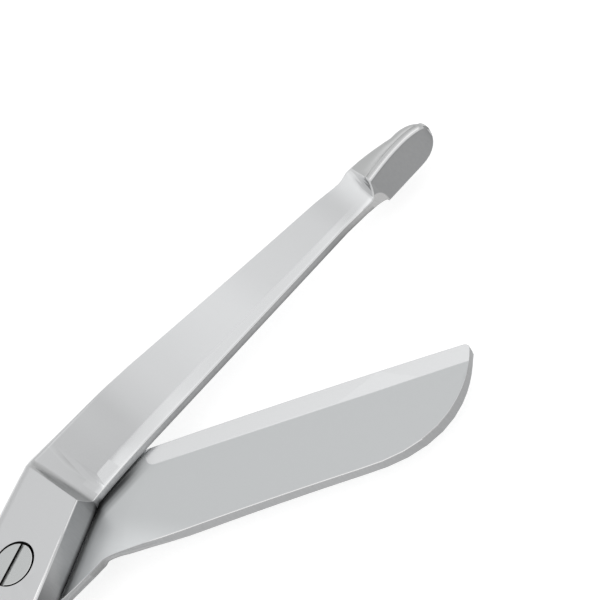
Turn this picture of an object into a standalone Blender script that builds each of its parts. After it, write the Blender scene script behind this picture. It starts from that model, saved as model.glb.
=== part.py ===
"""Bandage scissors: two forged steel halves that cross at a lap joint and turn on a slotted screw.

Units are metres and +Z is up. The screw's axis is the Z axis, the table is z = 0, the blades point
along +X, and the two finger rings lie evenly on either side of -X. The upper half carries the
narrow blade with the blunt probe; the lower half carries the broad plain blade.

Each half is drawn in its own plan: x runs forward from the screw, y runs toward the back of its
blade, and height h runs outward from the plane where the halves meet. The lower half is the same
plan turned half a turn about X.
"""
import math

import bmesh
import bpy
from mathutils import Vector

# Joint
HALF_THICKNESS = 0.0043      # one half at the joint, from the meeting plane to its outer face
RUNNING_GAP = 0.0002         # between the two flat joint faces
BLOCK_SIDE = 0.0059          # screw axis to the block's straight side
BLOCK_BACK_ROUND = 0.0028    # how far the rounded side reaches in over the outer face
BLOCK_BACK_LAND = 0.0012     # upright part left under that rounding
BLOCK_BACK_CURVE = 1.5       # 1 is a straight rounded side ahead of the screw

# Screw
HEAD_RADIUS = 0.0030
HEAD_THICKNESS = 0.0016
HEAD_SINK = 0.0001           # below the block's outer face
HEAD_CLEARANCE = 0.0002      # round the head in its seat
SHAFT_RADIUS = 0.0021
SHAFT_CLEARANCE = 0.0003     # round the shaft and under the head
SLOT_WIDTH = 0.0007
SLOT_DEPTH = 0.0007
SLOT_ANGLE = math.radians(17.0)

# Handles
HANDLE_ANGLE = math.radians(24.0)    # each ring's centre line from -X
RING_DISTANCE = 0.096                # screw to ring centre
RING_HOLE_LENGTH = 0.028
RING_HOLE_WIDTH = 0.022
RING_BAND = 0.0050
RING_THICKNESS = 0.0045
SHANK_WIDTH = 0.0064
SHANK_THICKNESS = 0.0048
SHANK_START = 0.020          # where the block has narrowed to the shank
SHANK_SETTLE_START = 0.018
SHANK_SETTLE = 0.022         # run in which the shank settles onto the meeting plane
SHANK_ROUND_START = 0.004    # where the block's section starts to turn oval
SHANK_OVAL = 0.94            # 1 is a full ellipse
RING_ROOT = 0.0015           # how far the shank reaches into the ring's band
FLARE_RADIUS = 0.024         # fillet that widens the shank into its ring
FLARE_LENGTH = 0.0145

# Both blades
BEVEL_HEIGHT = 0.00105       # ground band above each cutting edge
BEVEL_LEAN = math.radians(10.0)
LAND_WIDTH = 0.0027          # honed strip along the edge on the inner face
LAND_START_RUN = 0.008       # run from the heel in which the inner face falls away
INNER_RELIEF = 0.0003        # how far it falls away from the land to the back
ARRIS = 0.00030              # softened outer edges
SHARP_ARRIS = 0.00008        # edges of the inner face
EDGE_ARRIS = 0.00016         # line between the ground band and the outer face
BACK_ARRIS = 0.00018         # line between the inner face and the blade's back

# Probe blade, on the upper half
PROBE_ANGLE = math.radians(-4.3)     # direction of its cutting edge
PROBE_EDGE_OFFSET = -0.00072         # screw axis to the edge line, toward the edge side
PROBE_BLOCK_BACK = 0.0074    # screw axis to the block's rounded side
SIDE_RUN = 0.0096            # length of a block's straight side ahead of the screw
PROBE_BACK_RUN = 0.0144      # the same along the rounded side
PROBE_SHOULDER = 0.0062      # rounded side at the shoulder, from the handle's centre line
PROBE_HEEL = 0.0129          # where the blade proper starts
PROBE_HEEL_DROP = 0.0004     # how far the edge curves down there
PROBE_HEEL_CURVE = 0.0095
PROBE_WIDTH_HEEL = 0.01145
PROBE_WIDTH_NECK = 0.0064
PROBE_BACK_CURVE = 1.31      # 1 is a straight back
PROBE_BACK_HEIGHT_HEEL = 0.0039      # blade's back above the meeting plane, beside the block
PROBE_BACK_HEIGHT_NECK = 0.0017
PROBE_BACK_ROUND = 0.0020    # rounding of the back at the shoulder
PROBE_BACK_ROUND_END = 0.028 # where it has run out
PROBE_BEND_RUN = 0.012       # run from the heel in which the sections turn square to the blade
FACET_WIDTH = 0.0029         # flat strip ground along the edge on the outer face
FACET_START = 0.0145
FACET_START_RUN = 0.0012
FACET_END = 0.040

# Probe tip
NECK = 0.0630                # where the inner face starts to curve down into the probe
BACK_WALL = 0.0663           # upright wall behind which the plain blade's tip closes
PROBE_NOSE = 0.0765          # end of the probe
NOSE_LENGTH = 0.0040
NOSE_SHAPE = 2.3             # 2 is an ellipse, more is blunter
NOSE_HEIGHT = 0.0014         # middle of the nose above the meeting plane
PROBE_RIDGE = 0.0031         # probe's high side above the meeting plane
PROBE_ARCH = 0.0005          # how much higher that side is halfway along
PROBE_LOW_SIDE = 0.0016
PROBE_DEPTH = 0.0013         # how far it reaches under the meeting plane
PROBE_SIDE_LEAN = 0.0011
PROBE_SIDE_STEP = 0.0004     # how far it stands out past the cutting edge
PROBE_SIDE_STEP_RUN = 0.0020 # how far before the neck that starts
PROBE_ROOT_WIDTH = 0.0071
PROBE_NOSE_WIDTH = 0.0055    # where the nose starts to close
NOSE_OFFSET = 0.0018         # nose's centre from the edge side
RAMP_LENGTH = 0.0017         # hollow step from the blade's outer face up to the probe
RAMP_ROUND = 0.14            # share of that step in which it is rounded over

# Plain blade, on the lower half
PLAIN_ANGLE = math.radians(42.2)
PLAIN_EDGE_OFFSET = 0.01416
PLAIN_EDGE_BULGE = 0.00026
PLAIN_BACK_OFFSET = 0.0011   # screw axis to the blade's back, far from the joint
PLAIN_BACK_TAPER = 0.0011
PLAIN_BLOCK_BACK = 0.0060    # screw axis to the block's rounded side
PLAIN_NECK_RUN = 0.0094      # length of that side ahead of the screw
PLAIN_NECK = 0.0038          # that side at its narrowest, from the handle's centre line
PLAIN_NECK_ROUND = 0.0074    # its rounding there
PLAIN_NECK_LAND = 0.0003
PLAIN_NECK_BEND = 0.0008     # how far behind the heel the side bends into the blade's back
PLAIN_HEEL = 0.0115          # corner at the back end of the cutting edge
PLAIN_HEEL_ROUND = 0.0021
TIP_CLEARANCE = 0.0023       # plain blade's tip to the probe's back wall
PLAIN_END_LENGTH = 0.0155    # length of the rounded end
PLAIN_END_FULL = 2.6         # both are 2 on an ellipse: more is fuller at the back
PLAIN_END_DROP = 1.9         # less is more slanted at the tip
PLAIN_CORNER = 0.0008
PLAIN_BACK_HEIGHT_HEEL = 0.0034
PLAIN_BACK_HEIGHT_END = 0.0020
PLAIN_FULL_HEIGHT = 0.8      # share of the blade's width from which its back has that height
PLAIN_BACK_SLOPE = 1.5       # width of the back's rounding for its height
PLAIN_BACK_LAND = 0.0016     # upright part of the blade's back
PLAIN_BACK_LAND_START = 0.012        # run from the heel in which it reaches that

# Mesh fineness
CORNER_STEPS = 4
RING_STEPS = 56
RING_SECTION_STEPS = 14
ROUND_STEPS = 48
SHARP_ANGLE = math.radians(32.0)

MEETING_Z = HALF_THICKNESS
JOINT_FACE = RUNNING_GAP / 2
UPPER = 1
LOWER = -1


def clear_scene():
    for item in list(bpy.data.objects):
        bpy.data.objects.remove(item)


def blend(start, end, share):
    return start + (end - start) * share


def ease(share):
    """Goes from 0 to 1 with level ends, and stays there outside them."""
    share = min(max(share, 0.0), 1.0)
    return share * share * (3.0 - 2.0 * share)


def steps(start, end, count):
    """Evenly spaced values from start to end, without the last one."""
    return [blend(start, end, i / count) for i in range(count)]


def bezier(first, control, last, share):
    back = 1.0 - share
    return first * back * back + control * 2 * back * share + last * share * share


def direction(angle):
    return Vector((math.cos(angle), math.sin(angle)))


def handle_point(along, outward):
    """Plan point from its distance back along the handle, and its distance to the edge side."""
    forward = direction(HANDLE_ANGLE)
    edge_side = Vector((forward.y, -forward.x))
    return -forward * along + edge_side * outward


def blade_point(angle, along, outward):
    """Plan point from its distance along the blade, and its distance to the edge side."""
    forward = direction(angle)
    edge_side = Vector((forward.y, -forward.x))
    return forward * along + edge_side * outward


def corner(centre, radii, start):
    """Quarter ellipse of a section's corner, turning clockwise from the start angle."""
    points = []
    for i in range(CORNER_STEPS + 1):
        angle = start - math.pi / 2 * i / CORNER_STEPS
        points.append((centre[0] + radii[0] * math.cos(angle), centre[1] + radii[1] * math.sin(angle)))
    return points


def fit(radii, width, height):
    """A corner's radii, held to the room it has."""
    return min(radii[0], width), min(radii[1], height)


def section(width, foot, top, rounds, lean=0.0, land=None, facet=None):
    """One cross-section as (across, height) pairs, from the edge side at 0 to the back at width.

    foot and top hold the height at the edge side and at the back. rounds holds the radii of the
    corners: edge foot, edge top, back top, back foot. land and facet are (across, height) of the
    crease in the inner and in the outer face.
    """
    edge_height = top[0] - foot[0]
    back_height = top[1] - foot[1]
    lean = min(lean, 0.4 * width)
    edge_foot = fit(rounds[0], 0.48 * width, 0.48 * edge_height)
    back_foot = fit(rounds[3], 0.48 * width, 0.48 * back_height)
    edge_top = fit(rounds[1], 0.48 * (width - lean), 0.97 * edge_height - edge_foot[1])
    back_top = fit(rounds[2], 0.96 * (width - lean) - edge_top[0], 0.97 * back_height - back_foot[1])
    left = corner((edge_foot[0], foot[0] + edge_foot[1]), edge_foot, 1.5 * math.pi)
    left += corner((lean + edge_top[0], top[0] - edge_top[1]), edge_top, math.pi)
    right = corner((width - back_top[0], top[1] - back_top[1]), back_top, math.pi / 2)
    right += corner((width - back_foot[0], foot[1] + back_foot[1]), back_foot, 0.0)
    over = crease(left[-1], right[0], facet)
    under = crease(left[0], right[-1], land)
    return left + over + right + under[::-1]


def crease(first, last, point):
    """Two points between the ends of a face: at the crease, and halfway from it to the back."""
    span = last[0] - first[0]
    if point is None:
        return [(first[0] + span / 3, blend(first[1], last[1], 1 / 3)),
                (last[0] - span / 3, blend(first[1], last[1], 2 / 3))]
    across = min(max(point[0], first[0] + 0.05 * span), last[0] - 0.1 * span)
    return [(across, point[1]), ((across + last[0]) / 2, (point[1] + last[1]) / 2)]


def line_height(first, last, across, width):
    return blend(first, last, across / width)


def oval(width, height):
    return ((SHANK_OVAL * width / 2, SHANK_OVAL * height / 2),) * 4


def mix_rounds(first, second, share):
    return tuple((blend(a[0], b[0], share), blend(a[1], b[1], share)) for a, b in zip(first, second))


def block_rounds(reach=BLOCK_BACK_ROUND, land=BLOCK_BACK_LAND):
    sharp = (SHARP_ARRIS, SHARP_ARRIS)
    return (sharp, (ARRIS, ARRIS), (reach, HALF_THICKNESS - JOINT_FACE - land), sharp)


def shank_end():
    """Distance from the screw to the middle of the ring's band, where the shank runs into it."""
    return RING_DISTANCE - RING_HOLE_LENGTH / 2 - RING_ROOT


def handle_stations(block_back):
    """From the ring to the screw: flared root, oval shank, and the block it grows into."""
    end = shank_end()
    flare = end - FLARE_LENGTH
    places = steps(end, flare, 7) + steps(flare, SHANK_START, 12) + steps(SHANK_START, 0.0, 8)
    return [handle_station(place, flare, block_back) for place in places]


def handle_station(place, flare, block_back):
    drop = ease((place - SHANK_SETTLE_START) / SHANK_SETTLE)
    foot = blend(JOINT_FACE, -SHANK_THICKNESS / 2, drop)
    top = blend(HALF_THICKNESS, SHANK_THICKNESS / 2, drop)
    drift = ease((place - SHANK_START) / (shank_end() - SHANK_START))
    outer = blend(BLOCK_SIDE, SHANK_WIDTH / 2, drift)
    width = blend(BLOCK_SIDE + block_back, SHANK_WIDTH, ease(place / SHANK_START))
    run = max(place - flare, 0.0)
    spread = FLARE_RADIUS - math.sqrt(FLARE_RADIUS ** 2 - run ** 2)
    wide = width + 2 * spread
    soft = ease((place - SHANK_ROUND_START) / (SHANK_START - SHANK_ROUND_START))
    rounds = mix_rounds(block_rounds(), oval(wide, top - foot), soft)
    edge_side = handle_point(place, outer + spread)
    back = handle_point(place, outer - width - spread)
    return edge_side, back, section(wide, (foot, foot), (top, top), rounds)


def block_station(edge_side, back, rounds):
    width = (back - edge_side).length
    height = (HALF_THICKNESS, HALF_THICKNESS)
    return edge_side, back, section(width, (JOINT_FACE, JOINT_FACE), height, rounds)


def probe_back_height(along):
    share = (along - PROBE_HEEL) / (NECK - PROBE_HEEL)
    rise = (1.0 - min(max(share, 0.0), 1.0)) ** 2
    return blend(PROBE_BACK_HEIGHT_NECK, PROBE_BACK_HEIGHT_HEEL, rise)


def probe_back_round(along):
    """Radii of the back's outer edge, large at the shoulder and small along the blade."""
    share = ease((PROBE_BACK_ROUND_END - along) / (PROBE_BACK_ROUND_END - PROBE_HEEL))
    radius = blend(ARRIS, PROBE_BACK_ROUND, share)
    return radius, radius


def probe_edge_offset(along):
    """Distance of the cutting edge from the screw's axis: curved at the heel, set out at the probe."""
    curve = max(PROBE_HEEL + PROBE_HEEL_CURVE - along, 0.0) / PROBE_HEEL_CURVE
    step = ease((along - NECK + PROBE_SIDE_STEP_RUN) / (BACK_WALL - NECK))
    return PROBE_EDGE_OFFSET + PROBE_HEEL_DROP * min(curve, 1.2) ** 2 + PROBE_SIDE_STEP * step


def probe_edge(along):
    return blade_point(PROBE_ANGLE, along, probe_edge_offset(along))


def probe_width(along):
    share = min(max((along - PROBE_HEEL) / (NECK - PROBE_HEEL), 0.0), 1.1)
    return blend(PROBE_WIDTH_HEEL, PROBE_WIDTH_NECK, share ** PROBE_BACK_CURVE)


def probe_back(along):
    return blade_point(PROBE_ANGLE, along, PROBE_EDGE_OFFSET - probe_width(along))


def blade_rounds(back_round):
    """Radii of a blade section's corners: cutting edge, band's top, back's top, back's foot."""
    return (SHARP_ARRIS, SHARP_ARRIS), (EDGE_ARRIS, EDGE_ARRIS), back_round, (BACK_ARRIS, BACK_ARRIS)


def blade_section(width, heights, relief, land_on, facet_on, back_round):
    """Wedge section: ground band at the edge, sloping outer face, honed land on the inner face."""
    lean = BEVEL_HEIGHT * math.tan(BEVEL_LEAN)
    across = blend(width / 3, LAND_WIDTH, land_on)
    foot_back = JOINT_FACE + relief * land_on
    straight = line_height(heights[0], heights[1], FACET_WIDTH, width)
    facet = (FACET_WIDTH, blend(straight, heights[0], facet_on))
    rounds = blade_rounds(back_round)
    return section(width, (JOINT_FACE, foot_back), heights, rounds, lean, (across, JOINT_FACE), facet)


def probe_blade_stations():
    """Shoulder, blade and neck of the upper half."""
    stations = []
    for share in steps(0.0, 1.0, 5) + [1.0]:
        rounded_side = blend(PROBE_BLOCK_BACK, PROBE_SHOULDER, share ** BLOCK_BACK_CURVE)
        edge_side = handle_point(-SIDE_RUN * share, BLOCK_SIDE)
        back = handle_point(-PROBE_BACK_RUN * share, -rounded_side)
        stations.append(block_station(edge_side, back, block_rounds()))
    last_edge, last_back = stations[-1][0], stations[-1][1]
    lag = PROBE_HEEL - last_back.x - ARRIS
    heel_edge, heel_back = probe_edge(PROBE_HEEL), probe_back(PROBE_HEEL - lag)
    for share, fall in ((0.08, 0.03), (0.30, 0.38), (0.45, 0.60), (0.60, 0.79), (0.78, 0.93), (1.0, 1.0)):
        edge_side = last_edge.lerp(heel_edge, share)
        back = last_back.lerp(heel_back, share)
        heights = (blend(HALF_THICKNESS, BEVEL_HEIGHT, fall),
                   blend(HALF_THICKNESS, PROBE_BACK_HEIGHT_HEEL, fall))
        lean = BEVEL_HEIGHT * math.tan(BEVEL_LEAN) * fall
        rounds = mix_rounds(block_rounds(), blade_rounds(probe_back_round(PROBE_HEEL)), fall)
        width = (back - edge_side).length
        stations.append((edge_side, back,
                         section(width, (JOINT_FACE, JOINT_FACE), heights, rounds, lean)))
    facet_full = FACET_START + FACET_START_RUN
    bend_end = PROBE_HEEL + PROBE_BEND_RUN
    curved = steps(PROBE_HEEL, facet_full, 4)[1:] + steps(facet_full, bend_end, 4)
    for along in curved + steps(bend_end, NECK, 11):
        behind = lag * (1.0 - ease((along - PROBE_HEEL) / PROBE_BEND_RUN))
        edge_side = probe_edge(along)
        back = probe_back(along - behind)
        facet_on = ease((along - FACET_START) / FACET_START_RUN)
        facet_on *= 1.0 - ease((along - FACET_START) / (FACET_END - FACET_START))
        heights = (BEVEL_HEIGHT, probe_back_height(along))
        land_on = ease((along - PROBE_HEEL) / LAND_START_RUN)
        width = (back - edge_side).length
        stations.append((edge_side, back, blade_section(width, heights, INNER_RELIEF, land_on, facet_on,
                                                        probe_back_round(along))))
    return stations


def probe_tip_stations():
    """Neck fillet, ramp and blunt nose of the probe."""
    stations = []
    ramp_start = BACK_WALL - RAMP_LENGTH
    nose_start = PROBE_NOSE - NOSE_LENGTH
    places = steps(NECK, ramp_start, 4)
    places += [ramp_start + RAMP_LENGTH * share for share in (0.0, 0.25, 0.5, 0.7, 0.86, 0.91, 0.96)]
    places += steps(BACK_WALL, nose_start, 5)
    places += [nose_start + NOSE_LENGTH * math.sin(math.radians(angle))
               for angle in (0, 12, 24, 35, 45, 54, 62, 69, 75, 80, 84, 87, 89)]
    for place in places:
        stations.append(probe_tip_station(place, ramp_start, nose_start))
    return stations


def hollow_step(share):
    """Rises from 0 to 1: level at its foot, steep near its top, and rounded over there."""
    share = min(max(share, 0.0), 1.0)
    steepest = 1.0 - RAMP_ROUND
    if share < steepest:
        return share ** 2 / steepest
    return 1.0 - (1.0 - share) ** 2 / RAMP_ROUND


def probe_tip_station(place, ramp_start, nose_start):
    fillet = min((place - NECK) / (BACK_WALL - NECK), 1.0)
    sunk = 1.0 - math.sqrt(1.0 - fillet ** 2)
    rise = hollow_step((place - ramp_start) / RAMP_LENGTH)
    run = max(place - nose_start, 0.0) / NOSE_LENGTH
    close = (1.0 - run ** NOSE_SHAPE) ** (1 / NOSE_SHAPE)
    taper = min(max((place - BACK_WALL) / (nose_start - BACK_WALL), 0.0), 1.0)
    foot = blend(JOINT_FACE, -PROBE_DEPTH, sunk)
    back_foot = foot + INNER_RELIEF * (1.0 - fillet) + 0.5 * PROBE_DEPTH * sunk
    arch = math.sin(math.pi * min(max((place - BACK_WALL) / (PROBE_NOSE - BACK_WALL), 0.0), 1.0))
    edge_top = blend(BEVEL_HEIGHT, PROBE_RIDGE, rise) + PROBE_ARCH * arch
    back_top = blend(probe_back_height(place), PROBE_LOW_SIDE, rise)
    full = blend(PROBE_ROOT_WIDTH, PROBE_NOSE_WIDTH, taper ** 1.4)
    full = blend(probe_width(place), full, ease(fillet))
    width = full * close
    edge = probe_edge_offset(place) - NOSE_OFFSET * (1.0 - close)
    edge_side = blade_point(PROBE_ANGLE, place, edge)
    back = blade_point(PROBE_ANGLE, place, edge - width)
    heights = (blend(NOSE_HEIGHT, edge_top, close), blend(NOSE_HEIGHT, back_top, close))
    feet = (blend(NOSE_HEIGHT, foot, close), blend(NOSE_HEIGHT, back_foot, close))
    lean = blend(BEVEL_HEIGHT * math.tan(BEVEL_LEAN), PROBE_SIDE_LEAN, rise) * close
    blade = blade_rounds((ARRIS, ARRIS))
    blunt = ((2 * ARRIS, 2 * ARRIS), (3 * ARRIS, 2.5 * ARRIS),
             (3 * ARRIS, 2 * ARRIS), (4 * ARRIS, 3 * ARRIS))
    land = (blend(LAND_WIDTH, width / 3, fillet), feet[0])
    facet = (FACET_WIDTH * close, blend(heights[0], heights[1], FACET_WIDTH / full))
    rounds = mix_rounds(blade, blunt, max(rise, sunk))
    return edge_side, back, section(width, feet, heights, rounds, lean, land, facet)


def plain_tip_reach():
    """Distance along the plain blade to its end, from the probe's back wall that it closes behind."""
    radius = BACK_WALL - TIP_CLEARANCE
    across = PLAIN_EDGE_OFFSET - PLAIN_CORNER
    return math.sqrt(radius ** 2 - across ** 2)


def plain_blade_stations():
    """Waist, heel, blade and rounded end of the lower half."""
    stations = []
    for share in steps(0.0, 1.0, 5) + [1.0]:
        rounded_side = blend(PLAIN_BLOCK_BACK, PLAIN_NECK, share ** BLOCK_BACK_CURVE)
        edge_side = handle_point(-SIDE_RUN * share, BLOCK_SIDE)
        back = handle_point(-PLAIN_NECK_RUN * share, -rounded_side)
        reach = blend(BLOCK_BACK_ROUND, PLAIN_NECK_ROUND, ease(2 * share))
        land = blend(BLOCK_BACK_LAND, PLAIN_NECK_LAND, ease(2 * share))
        stations.append(block_station(edge_side, back, block_rounds(reach, land)))
    last_edge, last_back = stations[-1][0], stations[-1][1]
    start = PLAIN_HEEL + PLAIN_HEEL_ROUND
    first_edge = blade_point(PLAIN_ANGLE, start, PLAIN_EDGE_OFFSET)
    heel_corner = blade_point(PLAIN_ANGLE, PLAIN_HEEL, PLAIN_EDGE_OFFSET)
    first_back = blade_point(PLAIN_ANGLE, start, PLAIN_BACK_OFFSET - PLAIN_BACK_TAPER)
    bend = blade_point(PLAIN_ANGLE, PLAIN_HEEL - PLAIN_NECK_BEND, PLAIN_BACK_OFFSET - PLAIN_BACK_TAPER)
    neck = block_rounds(PLAIN_NECK_ROUND, PLAIN_NECK_LAND)
    blade_back = plain_back_round(PLAIN_BACK_HEIGHT_HEEL, start)
    for share, fall in ((0.03, 0.03), (0.16, 0.50), (0.28, 0.86), (0.40, 1.0), (0.60, 1.0), (0.80, 1.0)):
        edge_side = bezier(last_edge, heel_corner, first_edge, share)
        back = bezier(last_back, bend, first_back, share)
        heights = (blend(HALF_THICKNESS, BEVEL_HEIGHT, fall),
                   blend(HALF_THICKNESS, PLAIN_BACK_HEIGHT_HEEL, fall))
        lean = BEVEL_HEIGHT * math.tan(BEVEL_LEAN) * fall
        rounds = mix_rounds(neck, blade_rounds(blade_back), share)
        width = (back - edge_side).length
        stations.append((edge_side, back,
                         section(width, (JOINT_FACE, JOINT_FACE), heights, rounds, lean)))
    end = plain_tip_reach()
    round_start = end - PLAIN_END_LENGTH
    places = steps(start, round_start, 12)
    places += [round_start + PLAIN_END_LENGTH * math.sin(math.radians(angle))
               for angle in (0, 11, 22, 33, 43, 52, 60, 66, 71, 76, 81, 85, 88)]
    for place in places:
        stations.append(plain_blade_station(place, start, round_start, end))
    return stations


def plain_back_round(height, place):
    """Radii of the plain blade's back, which leave an upright land that grows from the neck on."""
    share = ease((place - PLAIN_HEEL) / PLAIN_BACK_LAND_START)
    land = blend(PLAIN_NECK_LAND, PLAIN_BACK_LAND, share)
    rise = max(height - land - JOINT_FACE, ARRIS)
    return PLAIN_BACK_SLOPE * rise, rise


def plain_blade_station(place, start, round_start, end):
    share = (place - start) / (end - start)
    edge = PLAIN_EDGE_OFFSET + PLAIN_EDGE_BULGE * 4 * share * (1 - share)
    spine = PLAIN_BACK_OFFSET - PLAIN_BACK_TAPER * (1 - min(1.3 * share, 1.0)) ** 2
    thick = blend(PLAIN_BACK_HEIGHT_HEEL, PLAIN_BACK_HEIGHT_END, 1 - (1 - min(1.2 * share, 1.0)) ** 2)
    back = spine
    if place > round_start:
        run = (place - round_start) / PLAIN_END_LENGTH
        turn = max(1 - run ** PLAIN_END_FULL, 0.0) ** (1 / PLAIN_END_DROP)
        middle = PLAIN_EDGE_OFFSET - PLAIN_CORNER - 2 * SHARP_ARRIS
        back = middle - (middle - spine) * turn
    over = place - (end - PLAIN_CORNER)
    if over > 0:
        edge -= PLAIN_CORNER - math.sqrt(max(PLAIN_CORNER ** 2 - over ** 2, 0.0))
    width = edge - back
    depth = (PLAIN_EDGE_OFFSET - back) / (PLAIN_EDGE_OFFSET - spine)
    land_on = ease((place - start) / LAND_START_RUN)
    land_line = PLAIN_EDGE_OFFSET - LAND_WIDTH
    slope = INNER_RELIEF * max(land_line - back, 0.0) / (land_line - spine)
    height = blend(BEVEL_HEIGHT, thick, ease(depth / PLAIN_FULL_HEIGHT))
    edge_side = blade_point(PLAIN_ANGLE, place, edge)
    back_side = blade_point(PLAIN_ANGLE, place, back)
    rounds = plain_back_round(height, place)
    return edge_side, back_side, blade_section(width, (BEVEL_HEIGHT, height), slope, land_on, 0.0, rounds)


def loft(name, stations, side):
    """One closed mesh through all the stations, on the upper or the lower side."""
    shape = bmesh.new()
    rings = []
    for edge_side, back, outline in stations:
        across = (back - edge_side).normalized()
        ring = []
        for offset, height in outline:
            plan = edge_side + across * offset
            ring.append(shape.verts.new((plan.x, side * plan.y, MEETING_Z + side * height)))
        rings.append(ring)
    for first, second in zip(rings, rings[1:]):
        for i in range(len(first)):
            j = (i + 1) % len(first)
            shape.faces.new((first[i], first[j], second[j], second[i]))
    shape.faces.new(rings[0])
    shape.faces.new(rings[-1])
    return finish(name, shape)


def ring_loop(name, side):
    """The finger ring: an oval band swept round its hole."""
    shape = bmesh.new()
    centre = handle_point(RING_DISTANCE, 0.0)
    forward = direction(HANDLE_ANGLE)
    sideways = Vector((forward.y, -forward.x))
    half_length = (RING_HOLE_LENGTH + RING_BAND) / 2
    half_width = (RING_HOLE_WIDTH + RING_BAND) / 2
    rings = []
    for i in range(RING_STEPS):
        turn = 2 * math.pi * i / RING_STEPS
        spot = centre + forward * (half_length * math.cos(turn)) + sideways * (half_width * math.sin(turn))
        out = forward * (half_width * math.cos(turn)) + sideways * (half_length * math.sin(turn))
        out.normalize()
        ring = []
        for j in range(RING_SECTION_STEPS):
            angle = 2 * math.pi * j / RING_SECTION_STEPS
            plan = spot + out * (RING_BAND / 2 * math.cos(angle))
            height = RING_THICKNESS / 2 * math.sin(angle)
            ring.append(shape.verts.new((plan.x, side * plan.y, MEETING_Z + side * height)))
        rings.append(ring)
    for i in range(RING_STEPS):
        first, second = rings[i], rings[(i + 1) % RING_STEPS]
        for j in range(RING_SECTION_STEPS):
            k = (j + 1) % RING_SECTION_STEPS
            shape.faces.new((first[j], first[k], second[k], second[j]))
    return finish(name, shape)


def finish(name, shape):
    """Turn a bmesh into an object with its faces pointing out."""
    bmesh.ops.recalc_face_normals(shape, faces=shape.faces)
    mesh = bpy.data.meshes.new(name)
    shape.to_mesh(mesh)
    shape.free()
    mesh.shade_smooth()
    mesh.set_sharp_from_angle(angle=SHARP_ANGLE)
    item = bpy.data.objects.new(name, mesh)
    bpy.context.scene.collection.objects.link(item)
    return item


def turned(name, profile):
    """A solid of revolution about Z from (radius, z) points, bottom to top, closed at both ends."""
    shape = bmesh.new()
    rings = []
    for radius, height in profile:
        ring = []
        for i in range(ROUND_STEPS):
            angle = 2 * math.pi * i / ROUND_STEPS
            ring.append(shape.verts.new((radius * math.cos(angle), radius * math.sin(angle), height)))
        rings.append(ring)
    for first, second in zip(rings, rings[1:]):
        for i in range(ROUND_STEPS):
            j = (i + 1) % ROUND_STEPS
            shape.faces.new((first[i], first[j], second[j], second[i]))
    shape.faces.new(rings[0])
    shape.faces.new(rings[-1])
    return finish(name, shape)


def guide(item):
    """Mark a cutter or a joined shape as no piece of the object."""
    item.hide_render = True
    item.display_type = "WIRE"
    return item


def combine(item, other, operation):
    change = item.modifiers.new(other.name, "BOOLEAN")
    change.object = other
    change.operation = operation
    change.solver = "EXACT"


def steel(name, colour, roughness):
    material = bpy.data.materials.new(name)
    material.use_nodes = True
    shader = material.node_tree.nodes["Principled BSDF"]
    shader.inputs["Base Color"].default_value = (*colour, 1.0)
    shader.inputs["Metallic"].default_value = 1.0
    shader.inputs["Roughness"].default_value = roughness
    return material


def probe_half(material):
    stations = handle_stations(PROBE_BLOCK_BACK) + probe_blade_stations() + probe_tip_stations()
    half = loft("probe_half", stations, UPPER)
    combine(half, guide(ring_loop("probe_half_ring", UPPER)), "UNION")
    head_floor = 2 * HALF_THICKNESS - HEAD_SINK - HEAD_THICKNESS - SHAFT_CLEARANCE
    bore = SHAFT_RADIUS + SHAFT_CLEARANCE
    seat = HEAD_RADIUS + HEAD_CLEARANCE
    over = 2 * HALF_THICKNESS + HEAD_THICKNESS
    cutter = turned("screw_seat_cutter", ((bore, 0.0), (bore, head_floor), (seat, head_floor), (seat, over)))
    combine(half, guide(cutter), "DIFFERENCE")
    half.data.materials.append(material)
    return half


def plain_half(material):
    half = loft("plain_half", handle_stations(PLAIN_BLOCK_BACK) + plain_blade_stations(), LOWER)
    combine(half, guide(ring_loop("plain_half_ring", LOWER)), "UNION")
    bore = SHAFT_RADIUS + SHAFT_CLEARANCE
    cutter = turned("screw_bore_cutter", ((bore, -HALF_THICKNESS), (bore, 2 * HALF_THICKNESS)))
    combine(half, guide(cutter), "DIFFERENCE")
    half.data.materials.append(material)
    return half


def pivot_screw(material):
    top = 2 * HALF_THICKNESS - HEAD_SINK
    neck = top - HEAD_THICKNESS
    chamfer = ARRIS / 2
    screw = turned("pivot_screw", (
        (SHAFT_RADIUS - chamfer, 0.0),
        (SHAFT_RADIUS, chamfer),
        (SHAFT_RADIUS, neck),
        (HEAD_RADIUS, neck),
        (HEAD_RADIUS, top - chamfer),
        (HEAD_RADIUS - chamfer, top),
    ))
    shape = bmesh.new()
    bmesh.ops.create_cube(shape, size=1.0)
    bmesh.ops.scale(shape, vec=(2.4 * HEAD_RADIUS, SLOT_WIDTH, 2 * SLOT_DEPTH), verts=shape.verts)
    slot = finish("slot_cutter", shape)
    slot.location.z = top
    slot.rotation_euler.z = SLOT_ANGLE
    combine(screw, guide(slot), "DIFFERENCE")
    screw.data.materials.append(material)
    return screw


def build():
    clear_scene()
    satin = steel("satin_stainless_steel", (0.60, 0.61, 0.62), 0.34)
    turned_steel = steel("turned_stainless_steel", (0.58, 0.59, 0.60), 0.28)
    plain_half(satin)
    probe_half(satin)
    pivot_screw(turned_steel)


build()
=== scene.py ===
# %% [markdown]
# # Bandage scissors
# These scissors slide under a dressing and cut it without hurting the skin. Two halves of forged
# stainless steel cross at a lap joint and turn on a slotted screw. The upper half carries a narrow
# blade that ends in a blunt probe, and the lower half carries a broad plain blade.
#
# The imported CAD model is the fixed frame, so it is loaded first. The steel pieces could be modelled
# again from nothing, but then they might not fit the solids that the physics uses. So each half
# starts as a copy of its solid, and gets the ground marks, worn edges and finishes of the real one,
# with painted light and shade in its colours.

# %% Load the frame
import math

import bmesh
import bpy
from mathutils import Matrix, Vector


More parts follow.
